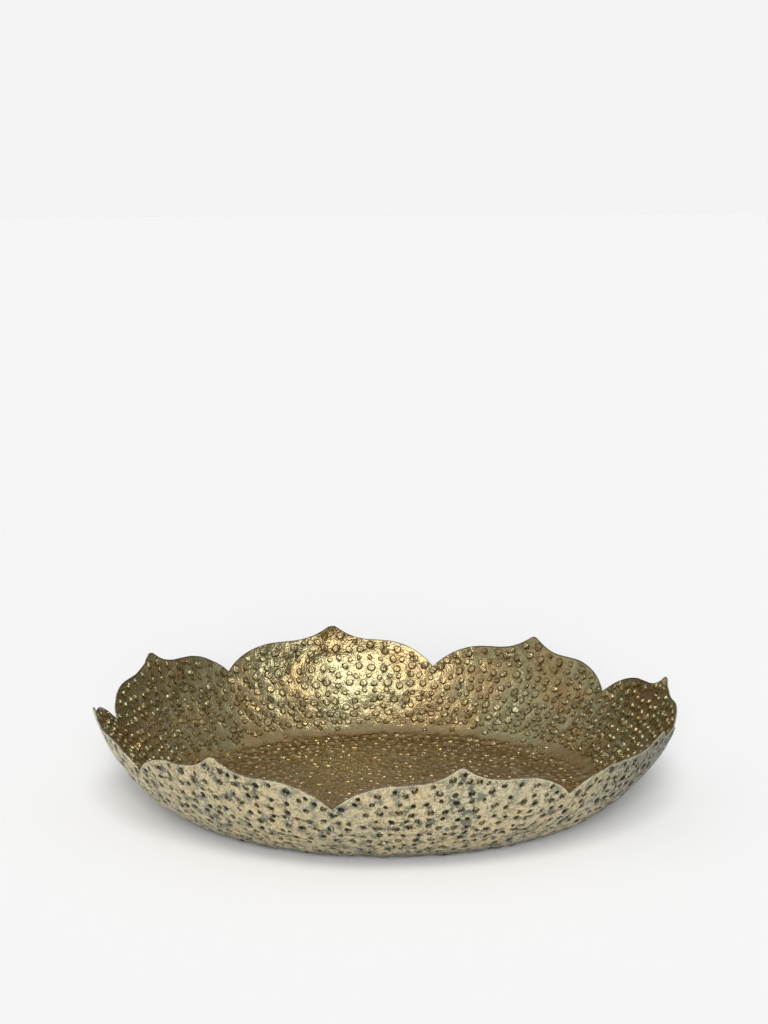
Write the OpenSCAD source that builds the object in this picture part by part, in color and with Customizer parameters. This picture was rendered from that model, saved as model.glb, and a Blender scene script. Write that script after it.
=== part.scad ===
// A shallow lotus urli bowl, raised from one sheet of brass.
// The flat round floor bends up into a curved wall, and the rim is cut into
// ogee petals: each has a pointed tip, a round shoulder and a notch beside it.
// +Z is up, the origin is the centre of the underside, and a petal tip points
// along +X.

/* [Bowl] */
// Distance from the centre to a petal tip
tip_radius = 150; // [140:1:165]
// Height of the petal tips above the underside
bowl_height = 57; // [50:1:62]
// Radius of the flat floor, measured on the underside
floor_radius = 103; // [95:1:105]
// Outside radius of the bend between floor and wall
bend_radius = 16; // [10:1:20]
// Slope of the wall where the bend ends, in degrees from level
wall_slope = 35; // [20:1:35]
// Thickness of the brass sheet
sheet = 1; // [0.8:0.1:2]

/* [Petals] */
// Number of petals round the rim
petal_count = 8; // [7:1:12]
// Slope of the rim beside a tip, in degrees from level
tip_slope = 43; // [30:1:48]
// Slope of the rim beside a notch, in degrees from level
notch_slope = 44; // [30:1:48]
// Share of half a petal's width that the hollow curve beside its tip takes
hollow_share = 0.35; // [0.2:0.05:0.4]
// Share of half a petal's width that its round shoulder takes
shoulder_share = 0.5; // [0.3:0.05:0.55]
// Width of the blunt end of a petal tip
tip_width = 1.2; // [0.8:0.2:3]

/* [Hidden] */
$fn = 180;
// Length past an edge that a cutting shape reaches
reach = 60;

// Profile, in a half plane with the bowl's axis at x = 0. The bend is an arc
// round bend_centre from level to wall_slope, and the wall is one more arc,
// tangent to the bend, that passes through the foot of the rim's highest point.
bend_centre = [floor_radius, bend_radius];
bend_end = bend_centre + bend_radius * [sin(wall_slope), -cos(wall_slope)];
wall_chord = [tip_radius, bowl_height] - bend_end;
wall_turn = 2 * (atan2(wall_chord.y, wall_chord.x) - wall_slope);
wall_radius = norm(wall_chord) / (2 * sin(wall_turn / 2));
wall_centre = bend_end + wall_radius * [-sin(wall_slope), cos(wall_slope)];

// Rim, in the plane square to a notch: x is the distance from the notch and y
// is the height. From the tip down it is a hollow arc, a level edge and a
// round shoulder.
half_gap = tip_radius * sin(180 / petal_count) - tip_width / 2;
hollow_width = hollow_share * half_gap;
hollow_radius = hollow_width / sin(tip_slope);
shoulder_width = shoulder_share * half_gap;
shoulder_radius = shoulder_width / sin(notch_slope);
level_height = bowl_height - hollow_radius * (1 - cos(tip_slope));
notch_height = level_height - shoulder_radius * (1 - cos(notch_slope));

// A ring sheet thick, with its outside at the given radius
module sheet_ring(centre, radius) {
    translate(centre)
        difference() {
            circle(r = radius);
            circle(r = radius - sheet);
        }
}

// The half plane past the end of the bend
module past_bend() {
    translate(bend_end)
        rotate(wall_slope)
            translate([0, -reach])
                square([2 * reach, 2 * reach]);
}

module bowl_profile() {
    square([floor_radius, sheet]);
    difference() {
        intersection() {
            sheet_ring(bend_centre, bend_radius);
            translate([floor_radius, 0])
                square([bend_radius, bend_radius]);
        }
        past_bend();
    }
    intersection() {
        sheet_ring(wall_centre, wall_radius);
        past_bend();
        translate([floor_radius, 0])
            square([2 * tip_radius, bowl_height]);
    }
}

// One side of the gap between two petals, from the notch to a tip
module half_gap_outline() {
    // Above the level edge, less what is left of the petal under the hollow
    translate([0, level_height])
        square([half_gap - hollow_width, reach]);
    translate([half_gap - hollow_width, level_height + hollow_radius])
        intersection() {
            circle(r = hollow_radius);
            translate([0, -hollow_radius])
                square([hollow_width, hollow_radius]);
        }
    translate([half_gap - hollow_width, bowl_height])
        square([hollow_width, reach]);
    // Beside the shoulder, down to the notch
    difference() {
        translate([0, notch_height])
            square([shoulder_width, level_height - notch_height]);
        translate([shoulder_width, level_height - shoulder_radius])
            circle(r = shoulder_radius);
    }
}

// What is cut away between two petals, as a bar that runs outwards along +X
module petal_gap() {
    rotate([90, 0, 90])
        linear_extrude(height = tip_radius + reach)
            for (side = [0, 1])
                mirror([side, 0])
                    half_gap_outline();
}

module bowl() {
    color("#a08a52")
        difference() {
            rotate_extrude()
                bowl_profile();
            for (i = [0 : petal_count - 1])
                rotate((i + 0.5) * 360 / petal_count)
                    petal_gap();
        }
}

bowl();
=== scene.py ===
import math

import bpy
import numpy as np
from mathutils import Matrix, Vector, noise
from mathutils.geometry import delaunay_2d_cdt


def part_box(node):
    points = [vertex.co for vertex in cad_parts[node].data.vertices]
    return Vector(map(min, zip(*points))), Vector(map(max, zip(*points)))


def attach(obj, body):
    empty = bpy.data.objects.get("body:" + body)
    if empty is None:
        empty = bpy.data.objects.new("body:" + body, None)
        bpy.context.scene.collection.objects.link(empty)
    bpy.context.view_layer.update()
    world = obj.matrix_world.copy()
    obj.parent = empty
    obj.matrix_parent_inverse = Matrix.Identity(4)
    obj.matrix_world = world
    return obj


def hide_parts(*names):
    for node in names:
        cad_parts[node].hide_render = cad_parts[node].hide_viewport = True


# A hammered brass urli with a lotus rim. The whole bowl is one sheet, so it is
# one piece: two skins a sheet apart, joined round the rim. Lengths are metres.
# A point of the sheet is named by s, its distance from the centre measured
# along the profile, and turn, its angle round the axis from +X towards +Y.

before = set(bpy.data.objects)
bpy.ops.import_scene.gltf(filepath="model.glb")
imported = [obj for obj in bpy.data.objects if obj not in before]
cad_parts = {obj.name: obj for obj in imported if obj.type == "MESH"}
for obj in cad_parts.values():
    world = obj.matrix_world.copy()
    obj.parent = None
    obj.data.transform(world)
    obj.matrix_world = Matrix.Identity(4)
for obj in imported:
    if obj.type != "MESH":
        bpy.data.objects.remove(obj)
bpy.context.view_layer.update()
rng = np.random.RandomState(11)
MM = 0.001

# ---------------------------------------------------------------- the profile
TIP_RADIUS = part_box("bowl")[1].x
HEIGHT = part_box("bowl")[1].z
FLOOR_RADIUS = 99 * MM
BEND_RADIUS = 28 * MM
WALL_SLOPE = math.radians(35)
SHEET = 1 * MM

bend_end = np.array([
    FLOOR_RADIUS + BEND_RADIUS * math.sin(WALL_SLOPE),
    BEND_RADIUS * (1 - math.cos(WALL_SLOPE)),
])
wall_chord = np.array([TIP_RADIUS, HEIGHT]) - bend_end
wall_turn = 2 * (math.atan2(wall_chord[1], wall_chord[0]) - WALL_SLOPE)
wall_radius = math.hypot(*wall_chord) / (2 * math.sin(wall_turn / 2))
wall_centre = bend_end + wall_radius * np.array([-math.sin(WALL_SLOPE), math.cos(WALL_SLOPE)])
BEND_END_S = FLOOR_RADIUS + BEND_RADIUS * WALL_SLOPE
TIP_S = BEND_END_S + wall_radius * wall_turn


def profile(s):
    """Radius, height and slope of the outer skin at each s."""
    bend = (s - FLOOR_RADIUS) / BEND_RADIUS
    wall = WALL_SLOPE + (s - BEND_END_S) / wall_radius
    slope = np.where(s < FLOOR_RADIUS, 0, np.where(s < BEND_END_S, bend, wall))
    on_wall = s >= BEND_END_S
    radius = np.where(
        on_wall,
        wall_centre[0] + wall_radius * np.sin(slope),
        np.minimum(s, FLOOR_RADIUS) + BEND_RADIUS * np.sin(slope),
    )
    height = np.where(
        on_wall,
        wall_centre[1] - wall_radius * np.cos(slope),
        BEND_RADIUS * (1 - np.cos(slope)),
    )
    return radius, height, slope


def s_at_height(z):
    """The s of a point of the wall, from its height."""
    slope = np.arccos((wall_centre[1] - z) / wall_radius)
    return BEND_END_S + wall_radius * (slope - WALL_SLOPE)


# -------------------------------------------------------------------- the rim
PETALS = 8
TIP_SLOPE = math.radians(43)
NOTCH_SLOPE = math.radians(44)
HOLLOW_SHARE = 0.35
SHOULDER_SHARE = 0.5
TIP_WIDTH = 1.2 * MM
TIP_ROUNDING = 1.0 * MM
# The rim's height depends on its radius and the other way round, so it is
# worked out this many times over.
RIM_PASSES = 8
# The petals are cut by hand. Going clockwise from +Y, each tip and the notch
# after it sit this far from their even places: degrees clockwise, and mm up.
TIP_SHIFT = (1.2, 3, 3.2, -5, 0.6, 0.4, -0.5, -1.6)
TIP_RISE = (1.1, -0.9, -1.4, -5.6, -0.5, -0.5, -0.9, 1.5)
NOTCH_SHIFT = (1.8, 2.5, 0, 0.5, 0.7, -0.3, -1, -2.6)
NOTCH_RISE = (-3, -3, -1, -2, -1.5, -0.5, -2.8, 0.7)

half_petal = math.pi / PETALS
half_gap = TIP_RADIUS * math.sin(half_petal) - TIP_WIDTH / 2
hollow_width = HOLLOW_SHARE * half_gap
hollow_radius = hollow_width / math.sin(TIP_SLOPE)
shoulder_width = SHOULDER_SHARE * half_gap
shoulder_radius = shoulder_width / math.sin(NOTCH_SLOPE)
level_height = HEIGHT - hollow_radius * (1 - math.cos(TIP_SLOPE))


def even_rim(angle):
    """Height of an evenly cut rim, from the angle to the nearest notch."""
    z = np.full_like(angle, level_height)
    for _ in range(RIM_PASSES):
        slope = np.arccos((wall_centre[1] - z) / wall_radius)
        radius = wall_centre[0] + wall_radius * np.sin(slope)
        x = np.clip(radius * np.sin(angle), 0, half_gap)
        shoulder = np.clip(shoulder_width - x, 0, None)
        from_tip = np.hypot(half_gap - x, TIP_ROUNDING)
        hollow = np.clip(hollow_width - from_tip, 0, None)
        z = (
            level_height
            - shoulder_radius + np.sqrt(shoulder_radius**2 - shoulder**2)
            + hollow_radius - np.sqrt(hollow_radius**2 - hollow**2)
        )
    return z


def rim_corners():
    """Angle and rise of every tip and notch, in order of growing angle."""
    corners = []
    step = 360 / PETALS
    for k in range(PETALS):
        tip = 90 - step * k
        corners.append((tip - TIP_SHIFT[k], TIP_RISE[k], True))
        corners.append((tip - step / 2 - NOTCH_SHIFT[k], NOTCH_RISE[k], False))
    corners.sort()
    first, last = corners[0], corners[-1]
    corners = [(last[0] - 360,) + last[1:]] + corners + [(first[0] + 360,) + first[1:]]
    return [(math.radians(a), rise * MM, is_tip) for a, rise, is_tip in corners]


CORNERS = rim_corners()
corner_angle = np.array([c[0] for c in CORNERS])


def petal_place(turn):
    """At each angle, the share of the way from notch to tip, and the rim's rise."""
    turn = np.mod(turn - corner_angle[0], 2 * math.pi) + corner_angle[0]
    i = np.clip(np.searchsorted(corner_angle, turn) - 1, 0, len(CORNERS) - 2)
    share = (turn - corner_angle[i]) / (corner_angle[i + 1] - corner_angle[i])
    rises = np.array([c[1] for c in CORNERS])
    is_tip = np.array([c[2] for c in CORNERS])
    rise = rises[i] + (rises[i + 1] - rises[i]) * share
    return np.where(is_tip[i], 1 - share, share), rise


def rim_s(turn):
    """The s of the rim at each angle."""
    share, rise = petal_place(np.asarray(turn, float))
    return s_at_height(even_rim(share * half_petal) + rise)


# ----------------------------------------------------------- the punch marks
# A flat-ended punch, struck from outside. It leaves a pit outside and, as the
# sheet has a thickness, a slightly wider flat-topped bump inside.
LARGE = 2.25 * MM
MIDDLE = 1.9 * MM
SMALL = 1.55 * MM
PIT_SHARE = 0.78
PIT_DEPTH = 1.2 * MM
BUMP_HEIGHT = 0.95 * MM
FLAT_SHARE = 0.74
BAND = (109 * MM, 118 * MM)
STRAYS = 70
# Rows up the wall, in mm: where, whether the large punch, and the step along it
WALL_ROWS = (
    (119.8, False, 5.2), (124.4, True, 6.6), (129.2, False, 5.4), (134.2, True, 6.8),
    (139.2, False, 5.6), (144.4, True, 7), (149.6, False, 6), (155, True, 7.2),
    (160.4, False, 6.4), (165.8, True, 7.4), (171.2, False, 6.8), (176.6, False, 7),
)
FLOOR_ROW = 5.4 * MM
FLOOR_STEP = 5.8 * MM
RIM_MARGIN = 0.5 * MM
MARK_GAP = 0.3 * MM
FLOOR_DEPTH = 0.42
LOOSE = 0.9 * MM
ODD_SHARE = 0.15
# One more row follows the rim, with this many marks from each tip to its notch
RIM_ROW = 7
RIM_ROW_GAP = 1.4 * MM
RIM_ROW_LOOSE = 0.5 * MM
MAX_MARKS = 4000


class Mark:
    """One mark. Its outline is a little oval or lobed, or cut straight on one side."""

    def __init__(self, s, turn, size):
        self.s = s
        self.turn = turn
        self.size = size * rng.uniform(0.9, 1.12)
        self.depth = rng.uniform(0.75, 1.1) * (1 if s > BAND[0] else FLOOR_DEPTH)
        self.oval = rng.uniform(0, 0.1)
        self.oval_at = rng.uniform(0, math.pi)
        self.lobe = rng.uniform(0, 0.06)
        self.lobe_at = rng.uniform(0, 2 * math.pi)
        self.cut = rng.uniform(0.5, 0.8) if rng.uniform() < 0.3 else 2
        self.tilt = rng.normal(0, 0.09, 2)
        self.radius = float(profile(np.array(s))[0])

    def reach(self, angle):
        """Radius of the mark's outline in each direction."""
        reach = (
            1
            + self.oval * np.cos(2 * (angle - self.oval_at))
            + self.lobe * np.cos(3 * (angle - self.lobe_at))
        )
        facing = np.maximum(np.cos(angle - self.lobe_at), 0.01)
        return self.size * np.minimum(reach, self.cut / facing)

    def inside_rim(self):
        side = (self.size + RIM_MARGIN) / self.radius
        edge = rim_s(self.turn + side * np.array([-1, -0.7, 0, 0.7, 1]))
        out = self.s + (self.size + RIM_MARGIN) * np.array([0, 0.7, 1, 0.7, 0])
        return bool(np.all(out < edge))


def place_marks():
    """Uneven rows along the rim, the wall and the floor, with no two marks overlapping."""
    marks = []
    placed = np.zeros((MAX_MARKS, 4))

    def is_clear(mark):
        s, turn, radius, size = placed[:len(marks)].T
        across = np.mod(mark.turn - turn + math.pi, 2 * math.pi) - math.pi
        away = np.hypot(mark.s - s, across * (mark.radius + radius) / 2)
        return bool(np.all(away > mark.size + size + MARK_GAP)) and mark.inside_rim()

    def try_mark(s, turn, size, loose):
        """Put a mark near its place in the row, closer each time it doesn't fit."""
        for slack in (1, 0.7, 0.4, 0):
            at = s + slack * loose * rng.normal()
            radius = float(profile(np.array(at))[0])
            there = turn + slack * loose * rng.normal() / radius
            mark = Mark(at, there, size)
            if is_clear(mark):
                placed[len(marks)] = mark.s, mark.turn, mark.radius, mark.size
                marks.append(mark)
                return

    for a, b in zip(corner_angle[:-2], corner_angle[1:-1]):
        for j in range(RIM_ROW):
            turn = a + (b - a) * (j + 0.5) / RIM_ROW
            size = SMALL if j % 2 else LARGE
            try_mark(float(rim_s(turn)) - size - RIM_ROW_GAP, turn, size, RIM_ROW_LOOSE)
    rows = [(s * MM, LARGE if large else SMALL, step * MM) for s, large, step in WALL_ROWS]
    count = int(BAND[0] / FLOOR_ROW)
    for i in range(count):
        at = BAND[0] - (i + 0.5) * BAND[0] / count
        rows.append((at, SMALL if i % 2 else MIDDLE, FLOOR_STEP))
    for row, size, step in rows:
        radius = float(profile(np.array(row))[0])
        count = max(3, round(2 * math.pi * radius / step))
        start = rng.uniform(0, 2 * math.pi)
        for j in range(count):
            own_size = MIDDLE if rng.uniform() < ODD_SHARE else size
            try_mark(row, start + 2 * math.pi * j / count, own_size, LOOSE)
    for _ in range(STRAYS):
        try_mark(rng.uniform(*BAND), rng.uniform(0, 2 * math.pi), SMALL, 0)
    return marks


marks = place_marks()

# ------------------------------------------------------------- the two skins
# Each skin is meshed flat, at (s cos turn, s sin turn), with rings of points
# round every mark so that it has a clean outline, and a looser fill between.
LARGE_RINGS = ((0, 1), (FLAT_SHARE, 14), (1, 14), (1.35, 12))
SMALL_RINGS = ((0, 1), (FLAT_SHARE, 10), (1, 10), (1.4, 9))
FILL_STEP = 1.9 * MM
RIM_STEP = 1.0 * MM
# How far inside the rim each kind of point stays
NEXT_TO_RIM = 0.7 * MM
RINGS_INSIDE = 1.0 * MM
FILL_INSIDE = 1.6 * MM
FILL_CLEAR = 1.75


def flat(s, turn):
    return np.stack([s * np.cos(turn), s * np.sin(turn)], -1)


def mark_points(mark, scale):
    points = []
    for share, count in LARGE_RINGS if mark.size > MIDDLE else SMALL_RINGS:
        start = 0.5 if share == 1 else 0
        angle = mark.oval_at + 2 * math.pi * (np.arange(count) + start) / count
        reach = share * scale * mark.reach(angle)
        points.append(flat(
            mark.s + reach * np.sin(angle),
            mark.turn + reach * np.cos(angle) / mark.radius,
        ))
    return np.vstack(points)


def rim_points():
    """Points along the rim at an even step, with one on every tip and notch."""
    turns = []
    for a, b in zip(corner_angle[:-2], corner_angle[1:-1]):
        fine = np.linspace(a, b, 400)
        x, y = flat(rim_s(fine), fine).T
        length = np.concatenate([[0], np.cumsum(np.hypot(np.diff(x), np.diff(y)))])
        count = round(length[-1] / RIM_STEP)
        turns.append(np.interp(length[-1] * np.arange(count) / count, length, fine))
    return np.concatenate(turns)


def fill_points(scale):
    """A loose grid between the marks."""
    across = np.arange(-TIP_S, TIP_S, FILL_STEP)
    x, y = (g.ravel() for g in np.meshgrid(across, across))
    x = x + rng.uniform(-0.3, 0.3, x.size) * FILL_STEP
    y = y + rng.uniform(-0.3, 0.3, y.size) * FILL_STEP
    points = np.stack([x, y], -1)
    points = points[inside(points, FILL_INSIDE)]
    for mark in marks:
        away = np.hypot(*(points - flat(mark.s, mark.turn)).T)
        points = points[away >= FILL_CLEAR * scale * mark.size]
    return points


def inside(points, margin):
    """Which points lie at least this far inside the rim, along the profile."""
    s = np.hypot(*points.T)
    return s < rim_s(np.arctan2(points[:, 1], points[:, 0])) - margin


rim_turns = rim_points()


def waves(s, turn, across, along, seed):
    """Soft noise from about -1 to 1, with the size of its bumps across and along s."""
    x, y = flat(np.minimum(s, BEND_END_S) / across, turn).T
    up = np.maximum(s - BEND_END_S, 0) / along
    return np.array([noise.noise(Vector(p)) for p in zip(x + seed, y, up)])


# Round each mark the sheet gives a little towards the inside, and it rolls and
# ripples where it was hammered.
PILLOW = 0.14 * MM
PILLOW_WIDTH = 1.6
ROLL = 0.5 * MM
ROLL_SIZE = 17 * MM
RIPPLE = 1.5 * MM
RIPPLE_ACROSS = 5.5 * MM
RIPPLE_ALONG = 9 * MM
# Both lift the sheet, so it is let down again to stand on the table, and the
# wall a little more.
SETTLE = 0.36 * MM
WALL_SETTLE = 0.7 * MM
WALL_SETTLE_OVER = 12 * MM
# Outside, the foot of the wall is knobbly too.
KNOB = 0.8 * MM
KNOB_SIZE = 3.2 * MM
FOOT_S = 111 * MM
FOOT_WIDTH = 8 * MM
# The wall stands out a little, and most at the notches.
STAND_OUT = 0.7 * MM
FLUTE = 1.2 * MM
FLUTE_FROM = 118 * MM
FLUTE_TO = 155 * MM
# Each noise has its own seed.
ROLL_SEED, KNOB_SEED, RIPPLE_SEED = 1.5, 4.5, 7.5
# Dark patina and painted shade lie in the crease round each mark, and less of it on the floor.
CREASE_WIDTH = 0.16
FLOOR_CREASE = 0.5
RIM_WIDTH = 3 * MM
MARK_REACH = 3.2
DOME = 0.06


class Skin:
    """One side of the sheet: its mesh, and what the marks do to it."""

    def __init__(self, scale, height, lift, crease_at):
        rim = flat(rim_s(rim_turns), rim_turns)
        next_to_rim = flat(rim_s(rim_turns) - NEXT_TO_RIM, rim_turns)
        rings = np.vstack([mark_points(m, scale) for m in marks])
        rings = rings[inside(rings, RINGS_INSIDE)]
        seeds = np.vstack([rim, next_to_rim, rings, fill_points(scale)])
        outline = [(i, (i + 1) % len(rim)) for i in range(len(rim))]
        points, _, triangles, _, _, _ = delaunay_2d_cdt(
            [Vector(p) for p in seeds * 1000], outline, [], 0, 1e-4, False
        )
        points = np.array([p[:] for p in points]) / 1000
        triangles = np.array(triangles)
        self.triangles = triangles[inside(points[triangles].mean(1), 0)]
        self.s = np.hypot(*points.T)
        self.turn = np.arctan2(points[:, 1], points[:, 0])
        self.near_rim = 1 - np.clip((rim_s(self.turn) - self.s) / RIM_WIDTH, 0, 1)
        self.strike(scale, crease_at)
        where = self.s, self.turn
        sway = ROLL * (0.5 + 0.5 * waves(*where, ROLL_SIZE, ROLL_SIZE, ROLL_SEED))
        ripple = waves(*where, RIPPLE_ACROSS, RIPPLE_ALONG, RIPPLE_SEED)
        ripple = ripple * (0.4 + 0.6 * np.clip(2 * self.pillow, 0, 1))
        sway += RIPPLE * (0.5 + 0.5 * ripple)
        # Only the outer skin, whose marks are the smaller, has a knobbly foot.
        # The same foot mask also carries the painted contact shade on the outside.
        self.foot = np.exp(-(((self.s - FOOT_S) / FOOT_WIDTH) ** 2)) * (scale < 1)
        knobs = waves(*where, KNOB_SIZE, KNOB_SIZE, KNOB_SEED)
        sway += KNOB * (0.5 + 0.5 * knobs) * self.foot
        rise = np.clip((self.s - FLUTE_FROM) / (FLUTE_TO - FLUTE_FROM), 0, 1)
        share, _ = petal_place(self.turn)
        flute = rise * (STAND_OUT + FLUTE * (0.5 + 0.5 * np.cos(math.pi * share)) ** 1.5)
        up_wall = np.clip((self.s - FLOOR_RADIUS) / WALL_SETTLE_OVER, 0, 1)
        sway -= SETTLE + WALL_SETTLE * up_wall
        self.lift = lift + sway - flute + PILLOW * self.pillow + height * self.punch + self.lean
        self.points = self.lifted()

    def strike(self, scale, crease_at):
        """punch is 1 on the flat of a full-depth mark, and crease 1 along its foot."""
        count = len(self.s)
        self.punch, self.crease = np.zeros(count), np.zeros(count)
        self.lean, self.pillow = np.zeros(count), np.zeros(count)
        order = np.argsort(self.s)
        in_order = self.s[order]
        for mark in marks:
            far = MARK_REACH * mark.size
            first, last = np.searchsorted(in_order, (mark.s - far, mark.s + far))
            near = order[first:last]
            across = np.mod(self.turn[near] - mark.turn + math.pi, 2 * math.pi) - math.pi
            u = across * mark.radius
            near, u = near[abs(u) < far], u[abs(u) < far]
            v = self.s[near] - mark.s
            outline = mark.reach(np.arctan2(v, u))
            share = np.hypot(u, v) / outline
            own = share / scale
            fall = np.clip((1 - own) / (1 - FLAT_SHARE), 0, 1)
            top = fall * mark.depth * (1 + DOME * (1 - own**2))
            self.punch[near] = np.maximum(self.punch[near], top)
            patina_and_shade = np.exp(-(((own - crease_at) / CREASE_WIDTH) ** 2))
            patina_and_shade = patina_and_shade * (1 if mark.s > BAND[0] else FLOOR_CREASE)
            self.crease[near] = np.maximum(self.crease[near], patina_and_shade)
            self.lean[near] += top * (mark.tilt[0] * u + mark.tilt[1] * v)
            self.pillow[near] += np.exp(-((share / PILLOW_WIDTH) ** 2)) * mark.size / LARGE

    def lifted(self):
        """Every point, lifted off the outer profile by self.lift towards the inside."""
        radius, height, slope = profile(self.s)
        radius = radius - self.lift * np.sin(slope)
        height = height + self.lift * np.cos(slope)
        return np.stack([radius * np.cos(self.turn), radius * np.sin(self.turn), height], -1)

    def rim_loop(self):
        """The vertices along the outline, in the order of growing angle."""
        t = self.triangles
        edges = np.sort(np.vstack([t[:, [0, 1]], t[:, [1, 2]], t[:, [2, 0]]]), 1)
        kinds, counts = np.unique(edges, axis=0, return_counts=True)
        ends = np.unique(kinds[counts == 1])
        return ends[np.argsort(np.mod(self.turn[ends], 2 * math.pi))]


# How much the punch's mark is scaled, how far it lifts the sheet, where the skin lies,
# and where the crease's dark patina and painted shade lie from a mark's middle (0) to its outline
# (1).
outer = Skin(PIT_SHARE, PIT_DEPTH, 0, 0.8)
inner = Skin(1, BUMP_HEIGHT, SHEET, 1.08)

# ------------------------------------------------------------- the one piece
UV_RADIUS = 0.285
UV_CENTRES = (0.71, 0.29)
UV_SPARE = 2 * MM
UV_EDGE = 0.8 * MM
EDGE_BULGE = 0.3 * MM
SHARP = math.radians(40)
low, high = outer.rim_loop(), inner.rim_loop() + len(outer.s)
middle = (outer.points[low] + inner.points[high - len(outer.s)]) / 2
slope = profile(outer.s[low])[2]
middle += EDGE_BULGE * np.stack([
    np.cos(outer.turn[low]) * np.cos(slope),
    np.sin(outer.turn[low]) * np.cos(slope),
    np.sin(slope),
], -1)
middle[:, 2] = np.minimum(middle[:, 2], HEIGHT)
verts = np.vstack([outer.points, inner.points, middle])
ridge = len(outer.s) + len(inner.s) + np.arange(len(low))
faces = [tuple(t) for t in outer.triangles[:, ::-1].tolist()]
faces += [tuple(t) for t in (inner.triangles + len(outer.s)).tolist()]
for below, above in ((low, ridge), (ridge, high)):
    strip = np.stack([below, np.roll(below, -1), np.roll(above, -1), above], -1)
    faces += [tuple(f) for f in strip.tolist()]


def add_attribute(mesh, name, outer_values, inner_values, rim_value):
    layer = mesh.attributes.new(name, "FLOAT", "POINT")
    values = np.concatenate([outer_values, inner_values, np.full(len(ridge), rim_value)])
    layer.data.foreach_set("value", values.astype(np.float32))


def uv_of_corners():
    """Each skin is laid out flat as a disc, with its half of the rim's edge round it."""
    disc = UV_RADIUS / (TIP_S + UV_SPARE)
    skins = []
    for skin, centre in ((outer, UV_CENTRES[0]), (inner, UV_CENTRES[1])):
        skins.append(centre + disc * flat(skin.s, skin.turn))
    edge = flat(outer.s[low] + UV_EDGE, outer.turn[low])
    edges = [centre + disc * edge for centre in UV_CENTRES]
    by_vertex = np.vstack(skins + edges)
    corners = np.concatenate([np.array(face) for face in faces])
    last_strip = len(corners) - 4 * len(low)
    on_edge = corners >= len(outer.s) + len(inner.s)
    corners[on_edge & (np.arange(len(corners)) >= last_strip)] += len(low)
    return by_vertex[corners]


mesh = bpy.data.meshes.new("hammered_bowl")
mesh.from_pydata(verts.tolist(), [], faces)
mesh.validate()
mesh.update()
mesh.polygons.foreach_set("use_smooth", [True] * len(mesh.polygons))
mesh.set_sharp_from_angle(angle=SHARP)
add_attribute(mesh, "punch", outer.punch, inner.punch, 0)
add_attribute(mesh, "crease", outer.crease, inner.crease, 0)
add_attribute(mesh, "hammered", outer.pillow, inner.pillow, 0)
add_attribute(mesh, "foot", outer.foot, inner.foot, 0)
add_attribute(mesh, "inside", np.zeros(len(outer.s)), np.ones(len(inner.s)), 0.5)
add_attribute(mesh, "rim", outer.near_rim, inner.near_rim, 1)
uv_layer = mesh.uv_layers.new(name="OFBake")
uv_layer.data.foreach_set("uv", uv_of_corners().ravel().astype(np.float32))
bowl = bpy.data.objects.new("hammered_bowl", mesh)
bpy.context.scene.collection.objects.link(bowl)


# --------------------------------------------------------------- the material
class Nodes:
    """A short way to build a node tree."""

    def __init__(self, material):
        material.use_nodes = True
        self.tree = material.node_tree
        self.tree.nodes.clear()

    def put(self, target, value):
        if isinstance(value, bpy.types.NodeSocket):
            self.tree.links.new(value, target)
        elif hasattr(target, "default_value"):
            target.default_value = value

    def add(self, kind, **inputs):
        node = self.tree.nodes.new("ShaderNode" + kind)
        for name, value in inputs.items():
            self.put(node.inputs[name.replace("_", " ")], value)
        return node

    def maths(self, operation, *values):
        node = self.tree.nodes.new("ShaderNodeMath")
        node.operation = operation
        for socket, value in zip(node.inputs, values):
            self.put(socket, value)
        return node.outputs[0]

    def mix(self, share, first, second):
        node = self.tree.nodes.new("ShaderNodeMix")
        node.data_type = "RGBA"
        self.put(node.inputs["Factor"], share)
        self.put(node.inputs[6], first)
        self.put(node.inputs[7], second)
        return node.outputs[2]

    def attribute(self, name):
        node = self.tree.nodes.new("ShaderNodeAttribute")
        node.attribute_name = name
        return node.outputs["Fac"]

    def noise(self, place, scale, detail=3.0, roughness=0.55):
        node = self.add("TexNoise", Vector=place, Scale=scale, Detail=detail, Roughness=roughness)
        return node.outputs["Fac"]

    def ramp(self, value, low, high):
        node = self.tree.nodes.new("ShaderNodeMapRange")
        node.interpolation_type = "SMOOTHSTEP"
        for name, amount in (("Value", value), ("From Min", low), ("From Max", high)):
            self.put(node.inputs[name], amount)
        return node.outputs[0]


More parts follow.
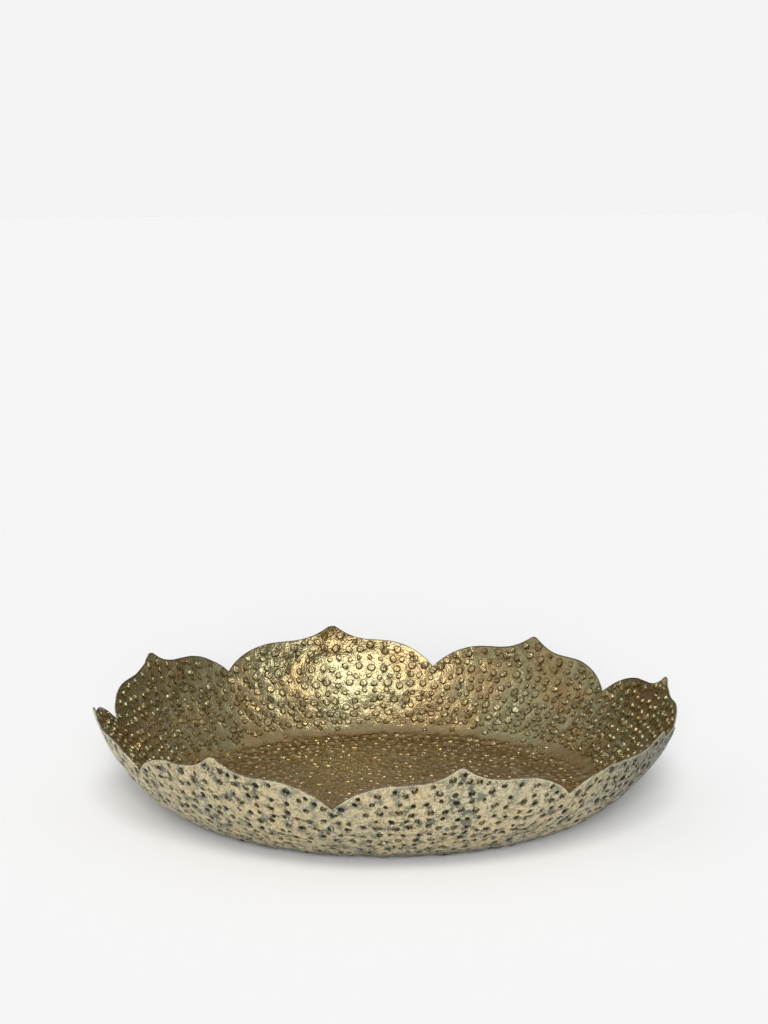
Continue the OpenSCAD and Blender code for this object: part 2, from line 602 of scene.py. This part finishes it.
def hammered_brass():
    material = bpy.data.materials.new("hammered_brass")
    t = Nodes(material)
    place = t.add("TexCoord").outputs["Object"]
    apart = t.add("SeparateXYZ", Vector=place).outputs
    punch_at, crease_at = t.attribute("punch"), t.attribute("crease")
    inside_at, rim_at = t.attribute("inside"), t.attribute("rim")
    near_marks = t.attribute("hammered")
    outside_at = t.maths("SUBTRACT", 1.0, inside_at)
    cloud = t.ramp(t.noise(place, 30.0, 4.0), 0.38, 0.64)
    fleck = t.ramp(t.noise(place, 600.0, 4.0, 0.7), 0.44, 0.64)
    blotch = t.ramp(t.noise(place, 210.0, 5.0, 0.7), 0.46, 0.60)

    olive, brown = (0.65, 0.58, 0.31, 1), (0.68, 0.49, 0.22, 1)
    sand, tan = (0.71, 0.63, 0.39, 1), (0.79, 0.65, 0.37, 1)
    inner_colour = t.mix(cloud, olive, brown)
    on_floor = t.ramp(apart["Z"], 0.0065, 0.002)
    warmed = t.maths("MULTIPLY", on_floor, 0.6)
    inner_colour = t.mix(warmed, inner_colour, (0.80, 0.56, 0.29, 1))
    outer_colour = t.mix(cloud, sand, tan)
    # Painted shade: the outside is darkened to grey on the side towards +X, where it would
    # reflect a darker room; it is made rougher there too.
    shaded_side = t.maths("MULTIPLY", t.ramp(apart["X"], 0.03, 0.12), 0.85)
    outer_colour = t.mix(shaded_side, outer_colour, (0.25, 0.26, 0.21, 1))
    colour = t.mix(inside_at, outer_colour, inner_colour)
    # Grey-green patina lies in blotches near the marks outside, and in the pits.
    verdigris, patina_and_shade_black = (0.20, 0.21, 0.17, 1), (0.02, 0.018, 0.012, 1)
    stained = t.maths("MULTIPLY", blotch, t.maths("ADD", near_marks, 0.35))
    stained = t.maths("MULTIPLY", stained, outside_at)
    colour = t.mix(stained, colour, verdigris)
    in_pit = t.maths("MULTIPLY", punch_at, outside_at)
    in_pit = t.maths("MULTIPLY", in_pit, t.maths("MULTIPLY", blotch, 0.6))
    colour = t.mix(in_pit, colour, verdigris)
    # Small dark mottling, where the antique finish was left on inside.
    mottled = t.maths("MULTIPLY", t.ramp(t.noise(place, 330.0, 3.0, 0.6), 0.48, 0.62), 0.45)
    mottled = t.maths("MULTIPLY", mottled, t.maths("SUBTRACT", near_marks, warmed))
    colour = t.mix(t.maths("MULTIPLY", mottled, inside_at), colour, (0.13, 0.10, 0.05, 1))
    # Dark patina and painted shade, near black, fill the crease round each mark.
    patchy = t.maths("ADD", 0.65, t.maths("MULTIPLY", fleck, 0.35))
    crease_patina_and_shade = t.maths("MULTIPLY", crease_at, patchy)
    colour = t.mix(crease_patina_and_shade, colour, patina_and_shade_black)
    speck = t.maths("MULTIPLY", fleck, t.maths("ADD", 0.3, t.maths("MULTIPLY", outside_at, 0.25)))
    colour = t.mix(speck, colour, (0.22, 0.17, 0.10, 1))
    # Painted shade: the foot is darkened near black all round, standing in for the contact shadow
    # where it meets the table.
    contact_shade = t.maths("MULTIPLY", t.ramp(t.attribute("foot"), 0.2, 0.8), 0.92)
    colour = t.mix(contact_shade, colour, (0.05, 0.045, 0.035, 1))
    # Outside, the high spots are scuffed bright.
    scuff = t.ramp(t.noise(place, 800.0, 2.0), 0.60, 0.68)
    scuff = t.maths("MULTIPLY", scuff, t.maths("ADD", near_marks, 0.4))
    scuff = t.maths("MULTIPLY", t.maths("MULTIPLY", scuff, outside_at), 0.9)
    colour = t.mix(scuff, colour, (0.86, 0.80, 0.62, 1))
    # The rim's edge is painted bright outside, as wear and a painted highlight, and dark inside,
    # as grime and painted shade.
    edge = t.ramp(rim_at, 0.72, 1.0)
    rim_grime_and_shade = t.maths("MULTIPLY", edge, t.ramp(inside_at, 0.5, 1.0))
    rim_wear_and_highlight = t.maths("MULTIPLY", edge, t.ramp(inside_at, 0.75, 0.4))
    colour = t.mix(t.maths("MULTIPLY", rim_grime_and_shade, 0.8), colour, (0.09, 0.07, 0.04, 1))
    colour = t.mix(t.maths("MULTIPLY", rim_wear_and_highlight, 0.6), colour, (0.86, 0.78, 0.60, 1))

    rough = t.maths("ADD", 0.12, t.maths("MULTIPLY", fleck, 0.14))
    rough = t.maths("ADD", rough, t.maths("MULTIPLY", shaded_side, outside_at))
    rough = t.maths("ADD", rough, t.maths("MULTIPLY", crease_patina_and_shade, 0.25))
    rough = t.maths("ADD", rough, t.maths("MULTIPLY", in_pit, 0.25))
    rough = t.maths("ADD", rough, t.maths("MULTIPLY", stained, 0.3))

    grain = t.noise(place, 1000.0, 2.0)
    rugged = t.maths("ADD", near_marks, 0.4)
    rugged = t.maths("ADD", rugged, t.maths("MULTIPLY", outside_at, 1.1))
    dents = t.maths("MULTIPLY", t.noise(place, 420.0, 3.0, 0.6), rugged)
    grain = t.maths("MULTIPLY", grain, t.maths("ADD", 0.4, t.maths("MULTIPLY", outside_at, 0.6)))
    height = t.maths("ADD", grain, dents)
    relief = t.add("Bump", Strength=0.8, Distance=0.0008, Height=height)
    shader = t.add(
        "BsdfPrincipled", Base_Color=colour, Metallic=1.0, Roughness=rough,
        Specular_Tint=(0.75, 0.72, 0.62, 1), Normal=relief.outputs[0],
        Coat_Weight=0.35, Coat_Roughness=0.06, Coat_Normal=relief.outputs[0],
    )
    out = t.add("OutputMaterial", Surface=shader.outputs[0])
    out.is_active_output = True
    return material


bowl.data.materials.append(hammered_brass())
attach(bowl, "root")
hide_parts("bowl")


# ----------------------------------------------------------------- the studio
FLOOR_HALF = 40.0
FLOOR_COLOUR = (0.9, 0.9, 0.9, 1)


def plain(name, colour):
    """A matt material of one colour."""
    material = bpy.data.materials.new(name)
    t = Nodes(material)
    shader = t.add("BsdfDiffuse", Color=colour)
    t.add("OutputMaterial", Surface=shader.outputs[0])
    return material


def pale_floor():
    """A wide floor, far larger than any view of it."""
    half = FLOOR_HALF
    corners = [(-half, -half, 0), (half, -half, 0), (half, half, 0), (-half, half, 0)]
    mesh = bpy.data.meshes.new("floor")
    mesh.from_pydata(corners, [], [(0, 1, 2, 3)])
    mesh.update()
    floor = bpy.data.objects.new("floor", mesh)
    bpy.context.scene.collection.objects.link(floor)
    floor.data.materials.append(plain("pale_floor", FLOOR_COLOUR))
    return floor


VIEW_AZIMUTH = math.radians(13.36)
pale_floor()


def soft_light(name, azimuth, elevation, spread, strength):
    """A distant round softbox, placed by its azimuth to the right of the camera."""
    a = math.radians(azimuth) - VIEW_AZIMUTH
    e = math.radians(elevation)
    towards = Vector((math.sin(a) * math.cos(e), -math.cos(a) * math.cos(e), math.sin(e)))
    data = bpy.data.lights.new(name, "SUN")
    data.angle = math.radians(spread)
    data.energy = strength
    light = bpy.data.objects.new(name, data)
    light.rotation_euler = towards.to_track_quat("Z", "Y").to_euler()
    bpy.context.scene.collection.objects.link(light)
    return light


key_light = soft_light("key", 9, 50, 44, 1.15)
key_light.visible_diffuse = False
for name, azimuth, strength in (("fill_left", -75, 0.22), ("fill_right", 80, 0.07)):
    fill_light = soft_light(name, azimuth, 35, 60, strength)
    fill_light.visible_diffuse = False
# Those three show in the metal, and the next two light the table.
for name, elevation, strength in (("table_low", 18, 3.9), ("table_high", 50, 1.45)):
    table_light = soft_light(name, 0, elevation, 28, strength)
    table_light.visible_glossy = False

# The world is WHITE to the camera. To everything else it is DIM low down, and
# above directions whose Z is RISES_FROM it grows to OVERHEAD at the top.
WHITE = 0.905
DIM, OVERHEAD = 0.12, 0.41
RISES_FROM = 0.25
world = bpy.data.worlds.new("studio")
bpy.context.scene.world = world
world.use_nodes = True
sky = world.node_tree
path = sky.nodes.new("ShaderNodeLightPath")
level = sky.nodes.new("ShaderNodeMapRange")
height = sky.nodes.new("ShaderNodeSeparateXYZ")
sky.links.new(sky.nodes.new("ShaderNodeTexCoord").outputs["Generated"], height.inputs[0])
rising = sky.nodes.new("ShaderNodeMapRange")
rising.inputs["From Min"].default_value = RISES_FROM
rising.inputs["To Min"].default_value = DIM
rising.inputs["To Max"].default_value = OVERHEAD
sky.links.new(height.outputs["Z"], rising.inputs["Value"])
sky.links.new(rising.outputs[0], level.inputs["To Min"])
level.inputs["To Max"].default_value = WHITE
sky.links.new(path.outputs["Is Camera Ray"], level.inputs["Value"])
sky.links.new(level.outputs[0], sky.nodes["Background"].inputs["Strength"])
sky.nodes["Background"].inputs["Color"].default_value = (1, 1, 1, 1)

# ----------------------------------------------------------------- the camera
CAMERA_PITCH = math.radians(8.84)
CAMERA_ROLL = math.radians(-0.18)
CAMERA_BACK, CAMERA_SIDE, CAMERA_UP = 1.0006, -0.0011, 0.303
LENS = 70.3

heading = Matrix.Rotation(-VIEW_AZIMUTH, 4, "Z")
camera_data = bpy.data.cameras.new("camera")
camera_data.lens = LENS
camera_data.clip_start = 0.01
camera = bpy.data.objects.new("camera", camera_data)
camera.matrix_world = (
    heading
    @ Matrix.Translation((CAMERA_SIDE, -CAMERA_BACK, CAMERA_UP))
    @ Matrix.Rotation(math.pi / 2 - CAMERA_PITCH, 4, "X")
    @ Matrix.Rotation(CAMERA_ROLL, 4, "Z")
)
bpy.context.scene.collection.objects.link(camera)
bpy.context.scene.camera = camera
bpy.context.scene.view_settings.view_transform = "Standard"
